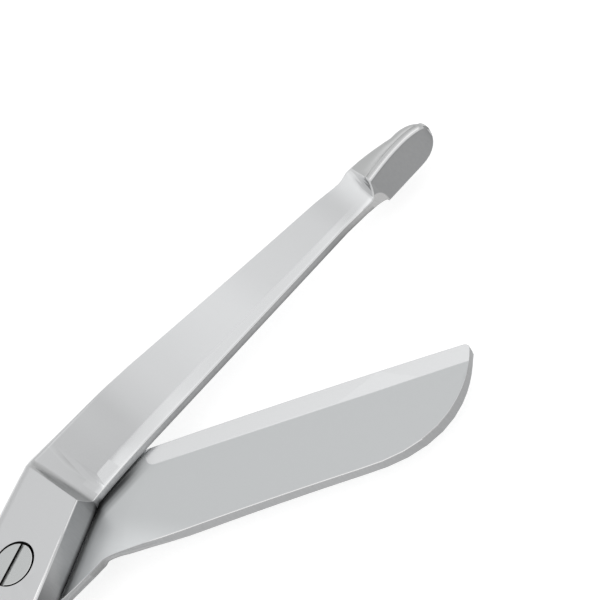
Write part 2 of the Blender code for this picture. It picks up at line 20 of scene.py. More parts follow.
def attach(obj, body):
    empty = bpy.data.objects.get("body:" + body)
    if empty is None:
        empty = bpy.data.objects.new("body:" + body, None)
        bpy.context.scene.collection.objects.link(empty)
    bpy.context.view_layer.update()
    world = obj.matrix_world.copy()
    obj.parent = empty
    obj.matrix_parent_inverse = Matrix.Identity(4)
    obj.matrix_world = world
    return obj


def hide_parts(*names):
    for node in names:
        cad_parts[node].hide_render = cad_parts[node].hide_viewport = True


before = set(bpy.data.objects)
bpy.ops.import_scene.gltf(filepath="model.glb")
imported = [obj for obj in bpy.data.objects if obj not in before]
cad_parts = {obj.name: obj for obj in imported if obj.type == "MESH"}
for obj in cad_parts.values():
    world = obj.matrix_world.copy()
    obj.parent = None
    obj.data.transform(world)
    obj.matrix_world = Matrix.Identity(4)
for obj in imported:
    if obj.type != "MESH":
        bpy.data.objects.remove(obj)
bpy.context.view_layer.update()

MM = 0.001

# %% [markdown]
# ## Camera
# The photograph was taken from in front and above, at about 45 degrees, with a long lens: edges that
# are parallel on the scissors stay nearly parallel in the picture. The camera could be placed by eye.
# Here its place was worked out from the round screw head, which shows as an ellipse, and from the
# directions of the two blades, because a small error would show all along them.

# %% Camera
CAMERA_PLACE = Vector((1.115, -289.879, 290.450)) * MM
CAMERA_RIGHT = Vector((0.637276, -0.596369, -0.488081))
CAMERA_UP = Vector((0.761668, 0.391088, 0.516635))
CAMERA_BACK = Vector((-0.117223, -0.700995, 0.703466))
LENS = 192.0
SENSOR = 36.0

camera_data = bpy.data.cameras.new("camera")
camera_data.lens = LENS
camera_data.sensor_width = SENSOR
camera = bpy.data.objects.new("camera", camera_data)
bpy.context.scene.collection.objects.link(camera)
turn = Matrix((CAMERA_RIGHT, CAMERA_UP, CAMERA_BACK)).transposed()
camera.matrix_world = Matrix.Translation(CAMERA_PLACE) @ turn.to_4x4()
bpy.context.scene.camera = camera
bpy.context.scene.view_settings.view_transform = "Standard"
print("camera at", [round(v / MM) for v in CAMERA_PLACE], "mm, lens", LENS, "mm")

# %% [markdown]
# ## Sizes that the finishes need
# A finish on a real instrument follows its shape: the honed strip lies along the cutting edge, and
# the belt leaves its marks on the upright sides. So these few sizes of the solids are named here.
# Each half has its own side of the meeting plane, 1 for the upper and -1 for the lower, and its own
# blade direction.

# %% Sizes
MEETING_Z = 4.3          # mm, where the two halves meet
UPPER, LOWER = 1, -1
PROBE_ANGLE = math.radians(-4.3)
PLAIN_ANGLE = math.radians(42.2)
HANDLE_ANGLE = math.radians(24.0)


def blade_axes(angle, side):
    """A blade's direction, and the direction out to its cutting edge, in the world."""
    forward = Vector((math.cos(angle), side * math.sin(angle), 0.0))
    edge_side = Vector((math.sin(angle), -side * math.cos(angle), 0.0))
    return forward, edge_side


PROBE_AXES = blade_axes(PROBE_ANGLE, UPPER)
PLAIN_AXES = blade_axes(PLAIN_ANGLE, LOWER)
print("blade directions:", [round(v, 3) for v in PROBE_AXES[0]], [round(v, 3) for v in PLAIN_AXES[0]])


# %% [markdown]
# ## Helpers for materials
# Colours are easiest to write as sRGB hex codes, but Blender's sockets take linear light, so one
# function turns them. A second function adds a node with its settings and links in one line.

# %% Material helpers
def linear(code):
    """An sRGB hex colour as the linear colour that Blender's sockets take."""
    parts = [int(code[i:i + 2], 16) / 255 for i in (1, 3, 5)]
    return (*[c / 12.92 if c <= 0.04045 else ((c + 0.055) / 1.055) ** 2.4 for c in parts], 1.0)


def node(tree, kind, settings=(), *links):
    """Add a node. settings are (name, value) pairs and links are (input, socket) pairs."""
    made = tree.nodes.new(kind)
    for name, value in settings:
        if isinstance(name, str) and hasattr(made, name):
            setattr(made, name, value)
        else:
            made.inputs[name].default_value = value
    for name, socket in links:
        tree.links.new(socket, made.inputs[name])
    return made


print("mid grey #808080 is", round(linear("#808080")[0], 3), "in linear light")


# %% [markdown]
# ## A strip along a blade
# The honed strips have a straight border and a rounded start, where the stone came down. They could
# be cut into the mesh, but they are only a change of finish, a few thousandths of a millimetre deep.
# So they are drawn in the material, from the piece's own Object coordinates. The rounded start is a
# quarter of a circle: how far a point is past the corner, in both directions, gives its distance.

# %% Strip mask
def strip_mask(tree, place, axes, start, border, corner, fade=None, soft=0.06):
    """1 inside a strip, 0 outside. start is along the blade, border is out toward the edge, in mm."""
    along = node(tree, "ShaderNodeVectorMath", [("operation", "DOT_PRODUCT"), (1, axes[0])], (0, place))
    out = node(tree, "ShaderNodeVectorMath", [("operation", "DOT_PRODUCT"), (1, axes[1])], (0, place))
    shorts = []
    for spot, limit in ((along, start), (out, border)):
        short = node(tree, "ShaderNodeMath", [("operation", "SUBTRACT"), (0, limit + corner)],
                     (1, spot.outputs["Value"]))
        shorts.append(node(tree, "ShaderNodeMath", [("operation", "MAXIMUM"), (1, 0.0)],
                           (0, short.outputs[0])))
    pair = node(tree, "ShaderNodeCombineXYZ", [], ("X", shorts[0].outputs[0]),
                ("Y", shorts[1].outputs[0]))
    far = node(tree, "ShaderNodeVectorMath", [("operation", "LENGTH")], (0, pair.outputs[0]))
    mask = node(tree, "ShaderNodeMapRange", [("From Min", corner + soft), ("From Max", corner - soft)],
                ("Value", far.outputs["Value"]))
    if fade is None:
        return mask.outputs["Result"]
    ending = node(tree, "ShaderNodeMapRange", [("From Min", fade[1]), ("From Max", fade[0]),
                                               ("interpolation_type", "SMOOTHSTEP")],
                  ("Value", along.outputs["Value"]))
    both = node(tree, "ShaderNodeMath", [("operation", "MULTIPLY")], (0, mask.outputs["Result"]),
                (1, ending.outputs["Result"]))
    return both.outputs[0]


# %% [markdown]
# ## A tone that changes along a piece
# A ground face is painted darker in some places and lighter in others, as painted light and shade.
# The mesh could store that at its corners, like the wear, but the long flat faces have corners only at
# their ends. So a factor on the colour follows the distance along one direction, through a colour ramp.

# %% Shades along an axis
def shade_along(tree, place, axis, stops):
    """A factor that goes through stops, (distance along the axis, factor) pairs in rising order."""
    along = node(tree, "ShaderNodeVectorMath", [("operation", "DOT_PRODUCT"), (1, axis)], (0, place))
    first, last = stops[0][0], stops[-1][0]
    share = node(tree, "ShaderNodeMapRange", [("From Min", first), ("From Max", last)],
                 ("Value", along.outputs["Value"]))
    ramp = node(tree, "ShaderNodeValToRGB", [], ("Fac", share.outputs["Result"]))
    ramp.color_ramp.interpolation = "EASE"
    elements = ramp.color_ramp.elements
    elements[1].position = 0.0
    for _ in stops[2:]:                  # a new ramp has two stops
        elements.new(1.0)
    for element, (distance, factor) in zip(elements, stops):
        element.position = (distance - first) / (last - first)
        element.color = (factor, factor, factor, 1.0)
    return ramp.outputs["Color"]


# %% [markdown]
# ## A tone in one place only
# Where one half slides on the other, a dark line beside the moving edge is painted into the colour as
# painted shade, for the shadow there. It is a second factor on the tone: it goes through its stops
# across the line, but only along the part where the halves touch. The same makes one part of a strip's
# border slightly darker.

# %% Shade patch
NO_CHANGE = (1.0, 1.0, 1.0, 1.0)         # a factor of 1


def shade_patch(tree, place, axes, across_stops, along_stops):
    """A factor that follows across_stops where along_stops is 1, and is 1 where that is 0."""
    depth = shade_along(tree, place, axes[1], across_stops)
    share = shade_along(tree, place, axes[0], along_stops)
    return node(tree, "ShaderNodeMixRGB", [("Color1", NO_CHANGE)], ("Fac", share),
                ("Color2", depth)).outputs["Color"]


# %% [markdown]
# ## Stainless steel
# Surgical scissors are made of martensitic stainless steel, a pale grey with a hint of blue. Metal
# has no colour of its own beneath the shine: what is seen is the room, times the metal's colour. So
# each finish is a metallic shader with a colour, a roughness and a fine pattern of grinding marks.
#
# Four things vary over it. The marks make the tone and the gloss uneven. A honed strip is smoother
# and reflects more. The edges are burnished by tumbling and by hands, and a painted highlight runs
# along them: the mesh stores both as an attribute of its corners, which is 1 along the middle of a
# rounded edge. And the hollow step beside the joint is painted darker where it slopes away, as
# painted shade, from a second attribute.

# %% Steel
HONED = "#d6d7d8"        # fine stone: smoother, so it sends more light one way
BURNISHED_AND_HIGHLIGHT = "#fbfbfb"    # rubbed edges, nearly polished, with a painted highlight along them
STEP_SHADE_COLOUR = "#b4b5b5"       # painted shade where the hollow step slopes away
HONED_ROUGHNESS = 0.24
BURNISHED_ROUGHNESS = 0.22
ROUGHNESS_SWING = 0.04   # the marks vary the roughness by this much to either side
NOISE_RANGE = [("From Min", 0.3), ("From Max", 0.7)]     # where most of the noise's values lie
MARKS_DEPTH = 0.004      # mm
MARKS_STRENGTH = 0.3     # tumbling has taken the sharpness off them


def steel(name, colour, roughness, marks_mm, unevenness, strip=None, strip_colour=HONED,
          shades=(), patches=()):
    """marks_mm is the size of the marks along X, Y and Z; unevenness is how much they vary the tone.

    strip holds the words of strip_mask, shades those of shade_along and patches those of shade_patch.
    """
    material = bpy.data.materials.new(name)
    material.use_nodes = True
    tree = material.node_tree
    shader = tree.nodes["Principled BSDF"]
    shader.inputs["Metallic"].default_value = 1.0
    where = node(tree, "ShaderNodeTexCoord")
    place = node(tree, "ShaderNodeVectorMath", [("operation", "SCALE"), ("Scale", 1 / MM),
                                                ("name", "place in mm")],
                 (0, where.outputs["Object"])).outputs["Vector"]
    stretched = node(tree, "ShaderNodeMapping", [("Scale", [1 / size for size in marks_mm])],
                     ("Vector", place))
    marks = node(tree, "ShaderNodeTexNoise", [("Scale", 1.0), ("Detail", 3.0), ("Roughness", 0.6)],
                 ("Vector", stretched.outputs["Vector"]))
    tone = node(tree, "ShaderNodeMapRange",
                [*NOISE_RANGE, ("To Min", 1 - unevenness), ("To Max", 1 + unevenness)],
                ("Value", marks.outputs["Fac"])).outputs["Result"]
    factors = [shade_along(tree, place, *shade) for shade in shades]
    factors += [shade_patch(tree, place, *patch) for patch in patches]
    for factor in factors:
        tone = node(tree, "ShaderNodeMath", [("operation", "MULTIPLY")], (0, tone),
                    (1, factor)).outputs[0]
    gloss = node(tree, "ShaderNodeMapRange",
                 [*NOISE_RANGE, ("To Min", roughness - ROUGHNESS_SWING),
                  ("To Max", roughness + ROUGHNESS_SWING)],
                 ("Value", marks.outputs["Fac"])).outputs["Result"]
    colours = node(tree, "ShaderNodeMixRGB", [("Fac", 0.0), ("Color1", linear(colour)),
                                              ("Color2", linear(strip_colour))])
    if strip:
        mask = strip_mask(tree, place, **strip)
        tree.links.new(mask, colours.inputs["Fac"])
        gloss = node(tree, "ShaderNodeMapRange", [("To Max", HONED_ROUGHNESS)], ("Value", mask),
                     ("To Min", gloss)).outputs["Result"]
    # Painted shade where the hollow step beside the joint slopes away.
    step_shade = node(tree, "ShaderNodeAttribute", [("attribute_name", "step_shade")]).outputs["Fac"]
    shaded_step = node(tree, "ShaderNodeMixRGB", [("Color2", linear(STEP_SHADE_COLOUR))], ("Fac", step_shade),
                  ("Color1", colours.outputs["Color"]))
    # Wear of the edges, and a painted highlight along them.
    wear_and_highlight = node(tree, "ShaderNodeAttribute", [("attribute_name", "wear_and_highlight")]).outputs["Fac"]
    worn_and_highlit = node(tree, "ShaderNodeMixRGB", [("Color2", linear(BURNISHED_AND_HIGHLIGHT))], ("Fac", wear_and_highlight),
                ("Color1", shaded_step.outputs["Color"]))
    final = node(tree, "ShaderNodeVectorMath", [("operation", "SCALE")], (0, worn_and_highlit.outputs["Color"]),
                 ("Scale", tone))
    gloss = node(tree, "ShaderNodeMapRange", [("To Max", BURNISHED_ROUGHNESS)], ("Value", wear_and_highlight),
                 ("To Min", gloss)).outputs["Result"]
    bump = node(tree, "ShaderNodeBump", [("Strength", MARKS_STRENGTH), ("Distance", MARKS_DEPTH * MM),
                                         ("name", "marks")], ("Height", marks.outputs["Fac"]))
    tree.links.new(final.outputs["Vector"], shader.inputs["Base Color"])
    tree.links.new(gloss, shader.inputs["Roughness"])
    tree.links.new(bump.outputs["Normal"], shader.inputs["Normal"])
    return material


# %% [markdown]
# ## The finishes of the broad faces
# - The joint, the handles and the backs are satin ground: a fine belt, then tumbled, so the marks
#   have no direction. The real grain is about 0.05 mm and is drawn at 0.25 mm, or it would not show.
# - The inner faces carry a honed strip along the cutting edge, where the blades rub on each other.
#   The broad blade's inner face is painted brighter round the joint, as painted light against the
#   upper half's shade. It has a dark line of painted shade along the other half: beside its blade, and
#   beside its joint block.
# - The narrow blade's outer face has a flat strip stoned beside its edge. It narrows toward the tip,
#   has a slightly darker border in the middle, and fades out before the probe.
#
# The tones along the blades could be left even, but then the photograph's slow changes of light and
# dark would be missing. They are painted light and shade on the colour.

# %% Finishes of the broad faces
HANDLE_AXES = blade_axes(HANDLE_ANGLE, UPPER)
STONED_AXES = blade_axes(PROBE_ANGLE - math.radians(1.5), UPPER)    # a strip that narrows toward the tip
SATIN = "#c8c9ca"
SATIN_ROUGHNESS = 0.32
GRAIN = (0.25, 0.25, 0.25)               # mm, the size of the fine marks
EVEN = 0.012                             # how much fine marks vary the tone
# Painted light: the broad blade's inner face is made brighter round the joint, against the shade of the
# upper half.
PAINTED_LIGHT_ROUND_JOINT = (HANDLE_AXES[0], ((-15, 1.0), (-7, 1.5), (5, 1.3), (11, 1.0)))
# Dark lines of painted shade on the broad blade's inner face, beside the other half's blade and joint
# block.
PAINTED_SHADE_BESIDE_BLADE = (PROBE_AXES,
                    ((-0.9, 1.0), (-0.45, 0.45), (-0.15, 0.14), (0.1, 0.16), (0.6, 0.45), (1.15, 0.7),
                     (1.9, 1.0)),
                    ((8.0, 0.0), (13.0, 1.0), (16.5, 1.0), (22.5, 0.0)))
PAINTED_SHADE_BESIDE_BLOCK = (HANDLE_AXES,
                    ((5.85, 1.0), (6.0, 0.45), (6.15, 0.5), (6.6, 0.85), (7.4, 1.0)),
                    ((-7.0, 0.0), (-3.0, 1.0), (10.5, 1.0), (12.5, 0.0)))
# Painted light and shade along the narrow blade's outer face.
PAINTED_LIGHT_AND_SHADE_ALONG_BLADE = (PROBE_AXES[0], ((14, 1.05), (18, 1.04), (23, 0.97), (30, 1.06), (42, 1.12), (49, 1.03),
                               (57, 1.0), (61, 0.93), (65, 1.2)))
# A painted highlight along the narrow blade's cutting edge.
PAINTED_EDGE_HIGHLIGHT = (PROBE_AXES[1], ((-1.5, 1.0), (-0.85, 1.18)))
STRIP_BORDER = (STONED_AXES, ((-3.96, 1.0), (-3.84, 0.87)),
                ((26, 0.0), (38, 0.9), (42, 1.0), (50, 0.5), (60, 0.0)))

satin = steel("satin_ground_stainless", SATIN, SATIN_ROUGHNESS, GRAIN, EVEN)
probe_inner = steel("honed_inner_face_of_narrow_blade", SATIN, SATIN_ROUGHNESS, GRAIN, EVEN,
                    strip=dict(axes=PROBE_AXES, start=16.6, border=-3.4, corner=1.5))
plain_inner = steel("honed_inner_face_of_broad_blade", "#c5c7c8", 0.44, GRAIN, EVEN,
                    strip=dict(axes=PLAIN_AXES, start=16.6, border=11.5, corner=1.5),
                    shades=[PAINTED_LIGHT_ROUND_JOINT], patches=[PAINTED_SHADE_BESIDE_BLADE, PAINTED_SHADE_BESIDE_BLOCK])
probe_outer = steel("stoned_outer_face_of_narrow_blade", SATIN, SATIN_ROUGHNESS, GRAIN, EVEN,
                    strip=dict(axes=STONED_AXES, start=14.6, border=-3.9, corner=1.6, fade=(58.0, 64.0)),
                    strip_colour="#cfd0d1", shades=[PAINTED_LIGHT_AND_SHADE_ALONG_BLADE, PAINTED_EDGE_HIGHLIGHT], patches=[STRIP_BORDER])
print("broad faces:", [finish.name for finish in (satin, probe_inner, plain_inner, probe_outer)])

# %% [markdown]
# ## The finishes of the sides and bands
# - The upright sides keep the marks of a coarse belt, run across them from top to bottom. They are
#   painted darker, most round the joint, as painted shade. A near-black strip of painted shadow lies
#   at the foot of the upper half's side, where it slides on the other half.
# - The narrow band above each cutting edge is ground on a coarse wheel. It is painted darker again, in
#   tones that change along it and darkest at its foot, as painted shade. Where the wheel runs out into
#   the side of the probe, a bright rounded end is a painted highlight.
# - The top of the probe is ground by hand on a belt, and is painted a little darker as painted shade.
# - The gap round the screw is near-black painted shade.
#
# The coarse marks are about 0.1 mm wide in reality and are drawn at twice that or more. They could be
# cut as real grooves, but at a few thousandths of a millimetre deep nobody would see their shape.

# %% Finishes of the sides and bands
UP = Vector((0.0, 0.0, 1.0))
ROUGH_GROUND = 0.36                      # roughness after a coarse belt or wheel
BELT_MARKS = (0.22, 0.22, 1.4)           # mm, long from top to bottom
WHEEL_MARKS = (0.25, 0.25, 0.9)
# A painted highlight: the bright rounded end where the wheel runs out into the probe's side.
RUN_OUT = dict(axes=(-PROBE_AXES[0], -UP), start=-66.45, border=-5.6, corner=1.45, fade=(-63, -56))
PAINTED_RUN_OUT_HIGHLIGHT = "#f2f2f2"
# A near-black strip of painted shadow at the foot of the upper half's side.
PAINTED_SHADOW_AT_FOOT = dict(axes=(HANDLE_AXES[0], -UP), start=-9.0, border=-4.85, corner=0.5, soft=0.4)
# Painted light and shade along the band and the probe's side: lighter at the heel, darker elsewhere and
# at the nose.
PAINTED_LIGHT_AND_SHADE_ALONG_BAND = (PROBE_AXES[0], ((12, 1.2), (18, 1.25), (24, 1.0), (29, 0.72), (38, 0.62), (46, 0.64),
                                (53, 0.58), (60, 0.41), (67, 0.50), (75.5, 0.50), (77.5, 0.34),
                                (80, 0.32)))
# Painted shade at the foot of the band, where it meets the other half.
PAINTED_SHADE_AT_BAND_FOOT = (UP, ((4.4, 0.3), (4.52, 0.75), (4.9, 0.97), (5.3, 1.0)))

# Painted shade: the upright sides are made darker along the handle, darkest round the joint.
side = steel("coarse_belt_ground_side", SATIN, ROUGH_GROUND, BELT_MARKS, 0.05,
             strip=PAINTED_SHADOW_AT_FOOT, strip_colour="#1f1e1d",
             shades=[(HANDLE_AXES[0], ((-18, 1.0), (-5, 0.28), (3, 0.78), (9, 0.88)))])
# Painted shade: the broad blade's sides are made darker.
plain_side = steel("coarse_belt_ground_side_of_broad_blade", SATIN, ROUGH_GROUND, BELT_MARKS, 0.05,
                   shades=[(PLAIN_AXES[0], ((-18, 1.0), (-4, 0.66), (45, 0.68), (58, 0.60)))])
band = steel("wheel_ground_band_above_edge", SATIN, ROUGH_GROUND, WHEEL_MARKS, 0.06,
             strip=RUN_OUT, strip_colour=PAINTED_RUN_OUT_HIGHLIGHT, shades=[PAINTED_LIGHT_AND_SHADE_ALONG_BAND, PAINTED_SHADE_AT_BAND_FOOT])
# Painted shade: the broad blade's band is made darker.
plain_band = steel("wheel_ground_band_of_broad_blade", SATIN, ROUGH_GROUND, WHEEL_MARKS, 0.06,
                   shades=[(PLAIN_AXES[0], ((12, 0.8), (60, 0.6)))])
probe_side = steel("belt_ground_side_of_probe", SATIN, ROUGH_GROUND, (0.3, 0.3, 0.9), 0.04,
                   strip=RUN_OUT, strip_colour=PAINTED_RUN_OUT_HIGHLIGHT, shades=[PAINTED_LIGHT_AND_SHADE_ALONG_BAND])
# A little darker than satin, as painted shade.
probe_top = steel("belt_ground_top_of_probe", "#bfc0c0", SATIN_ROUGHNESS, GRAIN, EVEN)
# Near-black painted shade in the gaps round the screw, in the bore and in the seat.
gap_shade = steel("painted_shade_in_gap_round_screw", "#1c1b1a", 0.5, (0.3, 0.3, 0.3), 0.1)
print("sides and bands:", [finish.name for finish in (side, plain_side, band, plain_band, probe_side,
                                                      probe_top, gap_shade)])

# %% [markdown]
# ## Copying a half
# A CAD node's own mesh is never changed. Its copy is loose triangles, so the corners are merged
# first, and pairs of triangles that lie flat become four-sided faces again, because those shade more
# evenly. Rounded edges are shaded smooth and sharp ones stay sharp.

# %% Copy helpers
MERGE = 0.002 * MM
PAIR_ANGLE = math.radians(6.0)           # largest bend between two triangles that make one face
PAIR_SHAPE = math.radians(70.0)          # and how far its corners may be from square
SMOOTH_ANGLE = math.radians(34.0)
SAME_AREA = 0.5          # square mm; faces whose areas differ by less count the same
LEVEL = 0.9999           # height part of the normal of a level face


def only(item):
    """Select one object alone."""
    bpy.ops.object.select_all(action="DESELECT")
    item.select_set(True)
    bpy.context.view_layer.objects.active = item


def apply_modifier(item, kind, **settings):
    """Add a modifier with these settings and apply it."""
    only(item)
    change = item.modifiers.new(kind.lower(), kind)
    for name, value in settings.items():
        setattr(change, name, value)
    bpy.ops.object.modifier_apply(modifier=change.name)


def steel_copy(node_name, piece_name):
    """A copy of a CAD node with its corners merged and its flat pairs of triangles joined."""
    only(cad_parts[node_name])
    bpy.ops.object.duplicate()
    item = bpy.context.active_object
    item.name = item.data.name = piece_name
    item.parent = None
    for key in list(item.keys()):
        del item[key]
    item.data.materials.clear()
    bpy.ops.object.mode_set(mode="EDIT")
    bpy.ops.mesh.select_all(action="SELECT")
    bpy.ops.mesh.remove_doubles(threshold=MERGE)
    bpy.ops.mesh.tris_convert_to_quads(face_threshold=PAIR_ANGLE, shape_threshold=PAIR_SHAPE)
    bpy.ops.object.mode_set(mode="OBJECT")
    print(piece_name, len(item.data.vertices), "points", len(item.data.polygons), "faces")
    return item


def smooth(item):
    """Smooth the rounded edges, and let the large flat faces set the shading beside them."""
    only(item)
    bpy.ops.object.shade_smooth_by_angle(angle=SMOOTH_ANGLE)
    apply_modifier(item, "WEIGHTED_NORMAL", weight=100, keep_sharp=True, thresh=SAME_AREA * MM ** 2)
    looks = [corner.vector.copy() for corner in item.data.corner_normals]
    for face in item.data.polygons:
        if abs(face.normal.z) > LEVEL:
            for corner in face.loop_indices:
                looks[corner] = face.normal.copy()
    item.data.normals_split_custom_set(looks)


def even_out(item, axes, start, least_rise):
    """Past start along the blade, give each point of the upper faces their average normal."""
    looks = [corner.vector.copy() for corner in item.data.corner_normals]
    upper = [face for face in item.data.polygons if face.normal.z > least_rise]
    sums = {}
    for face in upper:
        for point in face.vertices:
            sums[point] = sums.get(point, Vector()) + face.normal
    for face in upper:
        for corner, point in zip(face.loop_indices, face.vertices):
            if item.data.vertices[point].co.dot(axes[0]) > start * MM:
                looks[corner] = sums[point].normalized()
    item.data.normals_split_custom_set(looks)


probe = steel_copy("probe_half", "probe_half_steel")
plain = steel_copy("plain_half", "plain_half_steel")

# %% [markdown]
# ## Smooth shading, worn edges and painted highlights
# Each rounded edge is a strip of narrow faces between two broad ones. Such faces are found by their
# width and by how much the surface bends there. Their corners get a value for wear and painted
# highlight in the middle of the strip and none where it meets a broad face, so the painted shine fades
# to both sides. The probe's ridge is wider, and a painted highlight runs along its crest. Its top was
# finished by hand, so its faces are shaded as one.
#
# The wear and highlight could be painted by hand, but then a new size of the part would need new
# painting. The painted shade in the hollow step is found the same way, from how the surface slopes
# there.

# %% Worn edges and painted highlights
WORN_WIDTH = 0.30        # mm; wider strips are the real shape, such as the handles' oval
FULL_WEAR_WIDTH = 0.13   # mm; a sharper edge than this gets the full wear and painted highlight
LEAST_BEND = math.radians(6.0)
LEAST_RISE = 0.35        # height part of the normal; upright faces are not rubbed
UNDER_FALL, UNDER_TURN = 0.15, 0.1       # down, and toward the edge: the cutting edge's own underside
NECK, RIDGE_START = 62.0, 66.8           # along the narrow blade
NECK_WEAR_AND_HIGHLIGHT = 0.25         # the short edges between the two are finished by hand, rubbed less, and get less painted highlight
RIDGE_RISE = (0.55, 0.98)                # height part of the normals along the probe's ridge
RIDGE_TURN = 0.3         # least part of those normals toward the cutting edge
# A painted highlight along the probe's ridge.
RIDGE_HIGHLIGHT = 1.0
PROBE_RISE = 0.3         # least height part of the normals of the probe's upper faces
STEP_START, STEP_END = 8.0, 14.0         # along the blade, round the hollow step beside the joint
STEP_SLOPES = (0.15, 0.4)                # slopes where the painted shade starts and is in full
STEP_RISE, STEP_TURN = 0.1, 0.3          # least height part, largest part toward the cutting edge
STEP_RIM = 2.0           # mm past the step, where its rim is not rubbed either
RIM_SLOPE, RIM_TURN = 0.05, 0.2          # least slope, largest part toward the cutting edge


def step_shade_corners(item, side_sign, axes):
    """How much painted shade each corner of the hollow step has, from how the surface slopes there."""
    values = []
    for face in item.data.polygons:
        along = (face.center / MM).dot(axes[0])
        for corner in face.loop_indices:
            look = item.data.corner_normals[corner].vector
            slope = (look.dot(axes[0]) - STEP_SLOPES[0]) / (STEP_SLOPES[1] - STEP_SLOPES[0])
            near = (STEP_START < along < STEP_END and side_sign * look.z > STEP_RISE
                    and look.dot(axes[1]) < STEP_TURN)
            values.append(min(max(slope, 0.0), 1.0) if near else 0.0)
    return values


def store_wear_and_highlight(item, side_sign, axes):
    """Store the wear with its painted highlight, and the step's painted shade, of each corner as
    attributes of the mesh.
    """
    shape = bmesh.new()
    shape.from_mesh(item.data)
    steps = step_shade_corners(item, side_sign, axes)
    narrow = {}
    for face in shape.faces:
        longest = max(edge.calc_length() for edge in face.edges)
        bends = [edge.calc_face_angle_signed(0.0) for edge in face.edges
                 if edge.calc_length() > longest / 2]
        width = face.calc_area() / longest / MM
        along = face.calc_center_median().dot(axes[0]) / MM
        slope, turn = face.normal.dot(axes[0]), face.normal.dot(axes[1])
        under = side_sign * face.normal.z < -UNDER_FALL and turn > UNDER_TURN
        upright = abs(face.normal.z) < LEAST_RISE
        step = STEP_START < along < STEP_END + STEP_RIM and slope > RIM_SLOPE and turn < RIM_TURN
        if side_sign == UPPER and along > RIDGE_START:
            if RIDGE_RISE[0] < face.normal.z < RIDGE_RISE[1] and turn > RIDGE_TURN:
                narrow[face] = RIDGE_HIGHLIGHT
        elif width < WORN_WIDTH and max(bends) > LEAST_BEND and not (under or upright or step):
            narrow[face] = min(FULL_WEAR_WIDTH / width, 1.0) * (NECK_WEAR_AND_HIGHLIGHT if along > NECK else 1.0)
    values = []
    for face in shape.faces:
        for corner in face.verts:
            inside = all(other in narrow for other in corner.link_faces)
            values.append(narrow[face] if face in narrow and inside else 0.0)
    shape.free()
    for name, numbers in (("wear_and_highlight", values), ("step_shade", steps)):
        item.data.attributes.new(name, "FLOAT", "CORNER").data.foreach_set("value", numbers)
    print(item.name, len(narrow), "worn faces,", sum(step > 0 for step in steps), "coarse corners")


smooth(probe)
smooth(plain)
even_out(probe, PROBE_AXES, RIDGE_START, PROBE_RISE)
store_wear_and_highlight(probe, UPPER, PROBE_AXES)
store_wear_and_highlight(plain, LOWER, PLAIN_AXES)

# %% [markdown]
# ## Giving each face its finish
# A face's finish follows from where it is and which way it looks. Upright faces are sides, or the
# ground band if they look out over the cutting edge. Faces that look at the other half are inner
# faces. The probe's top and sides have finishes of their own, and so have the bore and the screw's
# seat, which are near-black painted shade. The faces could be picked by hand, but a rule also holds
# for a new size.

# %% Finish by face
HEEL = 12.6              # mm along either blade, where the ground band starts
BLADE_START = 13.2
OUTER_FACE = 4.28        # mm from the meeting plane; the halves' outer faces are past it
SEAT_RADIUS = 3.25
BORE_RADIUS = 2.5
UPRIGHT = 0.5            # largest height part of an upright face's normal
FLAT = 0.9               # least height part of a flat face's normal
TOP_START, TOP_BORDER = 66.8, -1.95      # the probe's top: along the blade, and out toward the edge
PROBE_START = 64.0       # along the narrow blade
PROBE_TURN = -0.4        # the probe's sides look no further away from the edge than this
BAND_TURN = 0.3          # least part of a band's normal toward the cutting edge
SLOPE, SLOPE_RISE = 0.3, 0.1             # the step's faces slope and rise at least this much
BACK_TURN, BACK_RISE = -0.3, 0.8         # the lower half's rounded back: away from the edge, not level


def finish_number(face, side_sign, axes, seat, names):
    """Index of a face's finish in names."""
    centre = face.center / MM
    look = face.normal
    along, out = centre.dot(axes[0]), centre.dot(axes[1])
    slope, turn = look.dot(axes[0]), look.dot(axes[1])
    up = side_sign * look.z
    outermost = side_sign * (centre.z - MEETING_Z) > OUTER_FACE
    if math.hypot(centre.x, centre.y) < seat and not outermost:
        return names.index("gap_shade")
    if "top" in names and along > TOP_START and out < TOP_BORDER and up > UPRIGHT:
        return names.index("top")
    if "probe" in names and along > PROBE_START and turn > PROBE_TURN and up < UPRIGHT:
        return names.index("probe")
    if turn > BAND_TURN and along > HEEL and up < UPRIGHT:
        return names.index("band")
    step = along < STEP_END and slope > SLOPE and up > SLOPE_RISE
    back = side_sign == LOWER and turn < BACK_TURN and abs(look.z) < BACK_RISE
    if back or abs(look.z) < UPRIGHT and not step:
        return names.index("side")
    if up < -FLAT:
        return names.index("inner")
    if up > FLAT and along > BLADE_START:
        return names.index("outer")
    return names.index("satin")


def give_finishes(item, side_sign, axes, seat, finishes):
    """Give every face one of the finishes, a dict of name and material."""
    names = list(finishes)
    for material in finishes.values():
        item.data.materials.append(material)
    for face in item.data.polygons:
        face.material_index = finish_number(face, side_sign, axes, seat, names)
    counts = [sum(f.material_index == i for f in item.data.polygons) for i in range(len(names))]
    print(item.name, dict(zip(names, counts)))


give_finishes(probe, UPPER, PROBE_AXES, SEAT_RADIUS,
              dict(satin=satin, side=side, band=band, inner=probe_inner, outer=probe_outer, gap_shade=gap_shade,
                   probe=probe_side, top=probe_top))
give_finishes(plain, LOWER, PLAIN_AXES, BORE_RADIUS,
              dict(satin=satin, side=plain_side, band=plain_band, inner=plain_inner, outer=satin,
                   gap_shade=gap_shade))

for item, body in ((probe, "probe_half"), (plain, "plain_half")):
    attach(item, body)
    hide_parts(body)

# %% [markdown]
# ## Screw
# The screw holds the halves together. It is turned from bar: a shaft, a wider head sunk in the upper
# half, and a slot sawn across. It could be a lathe profile spun round the axis, but adding a cylinder
# and drawing out its head is as short and shows each step. The rims get a small chamfer, as a turner
# breaks every sharp edge, and the slot is taken away with a Boolean modifier.

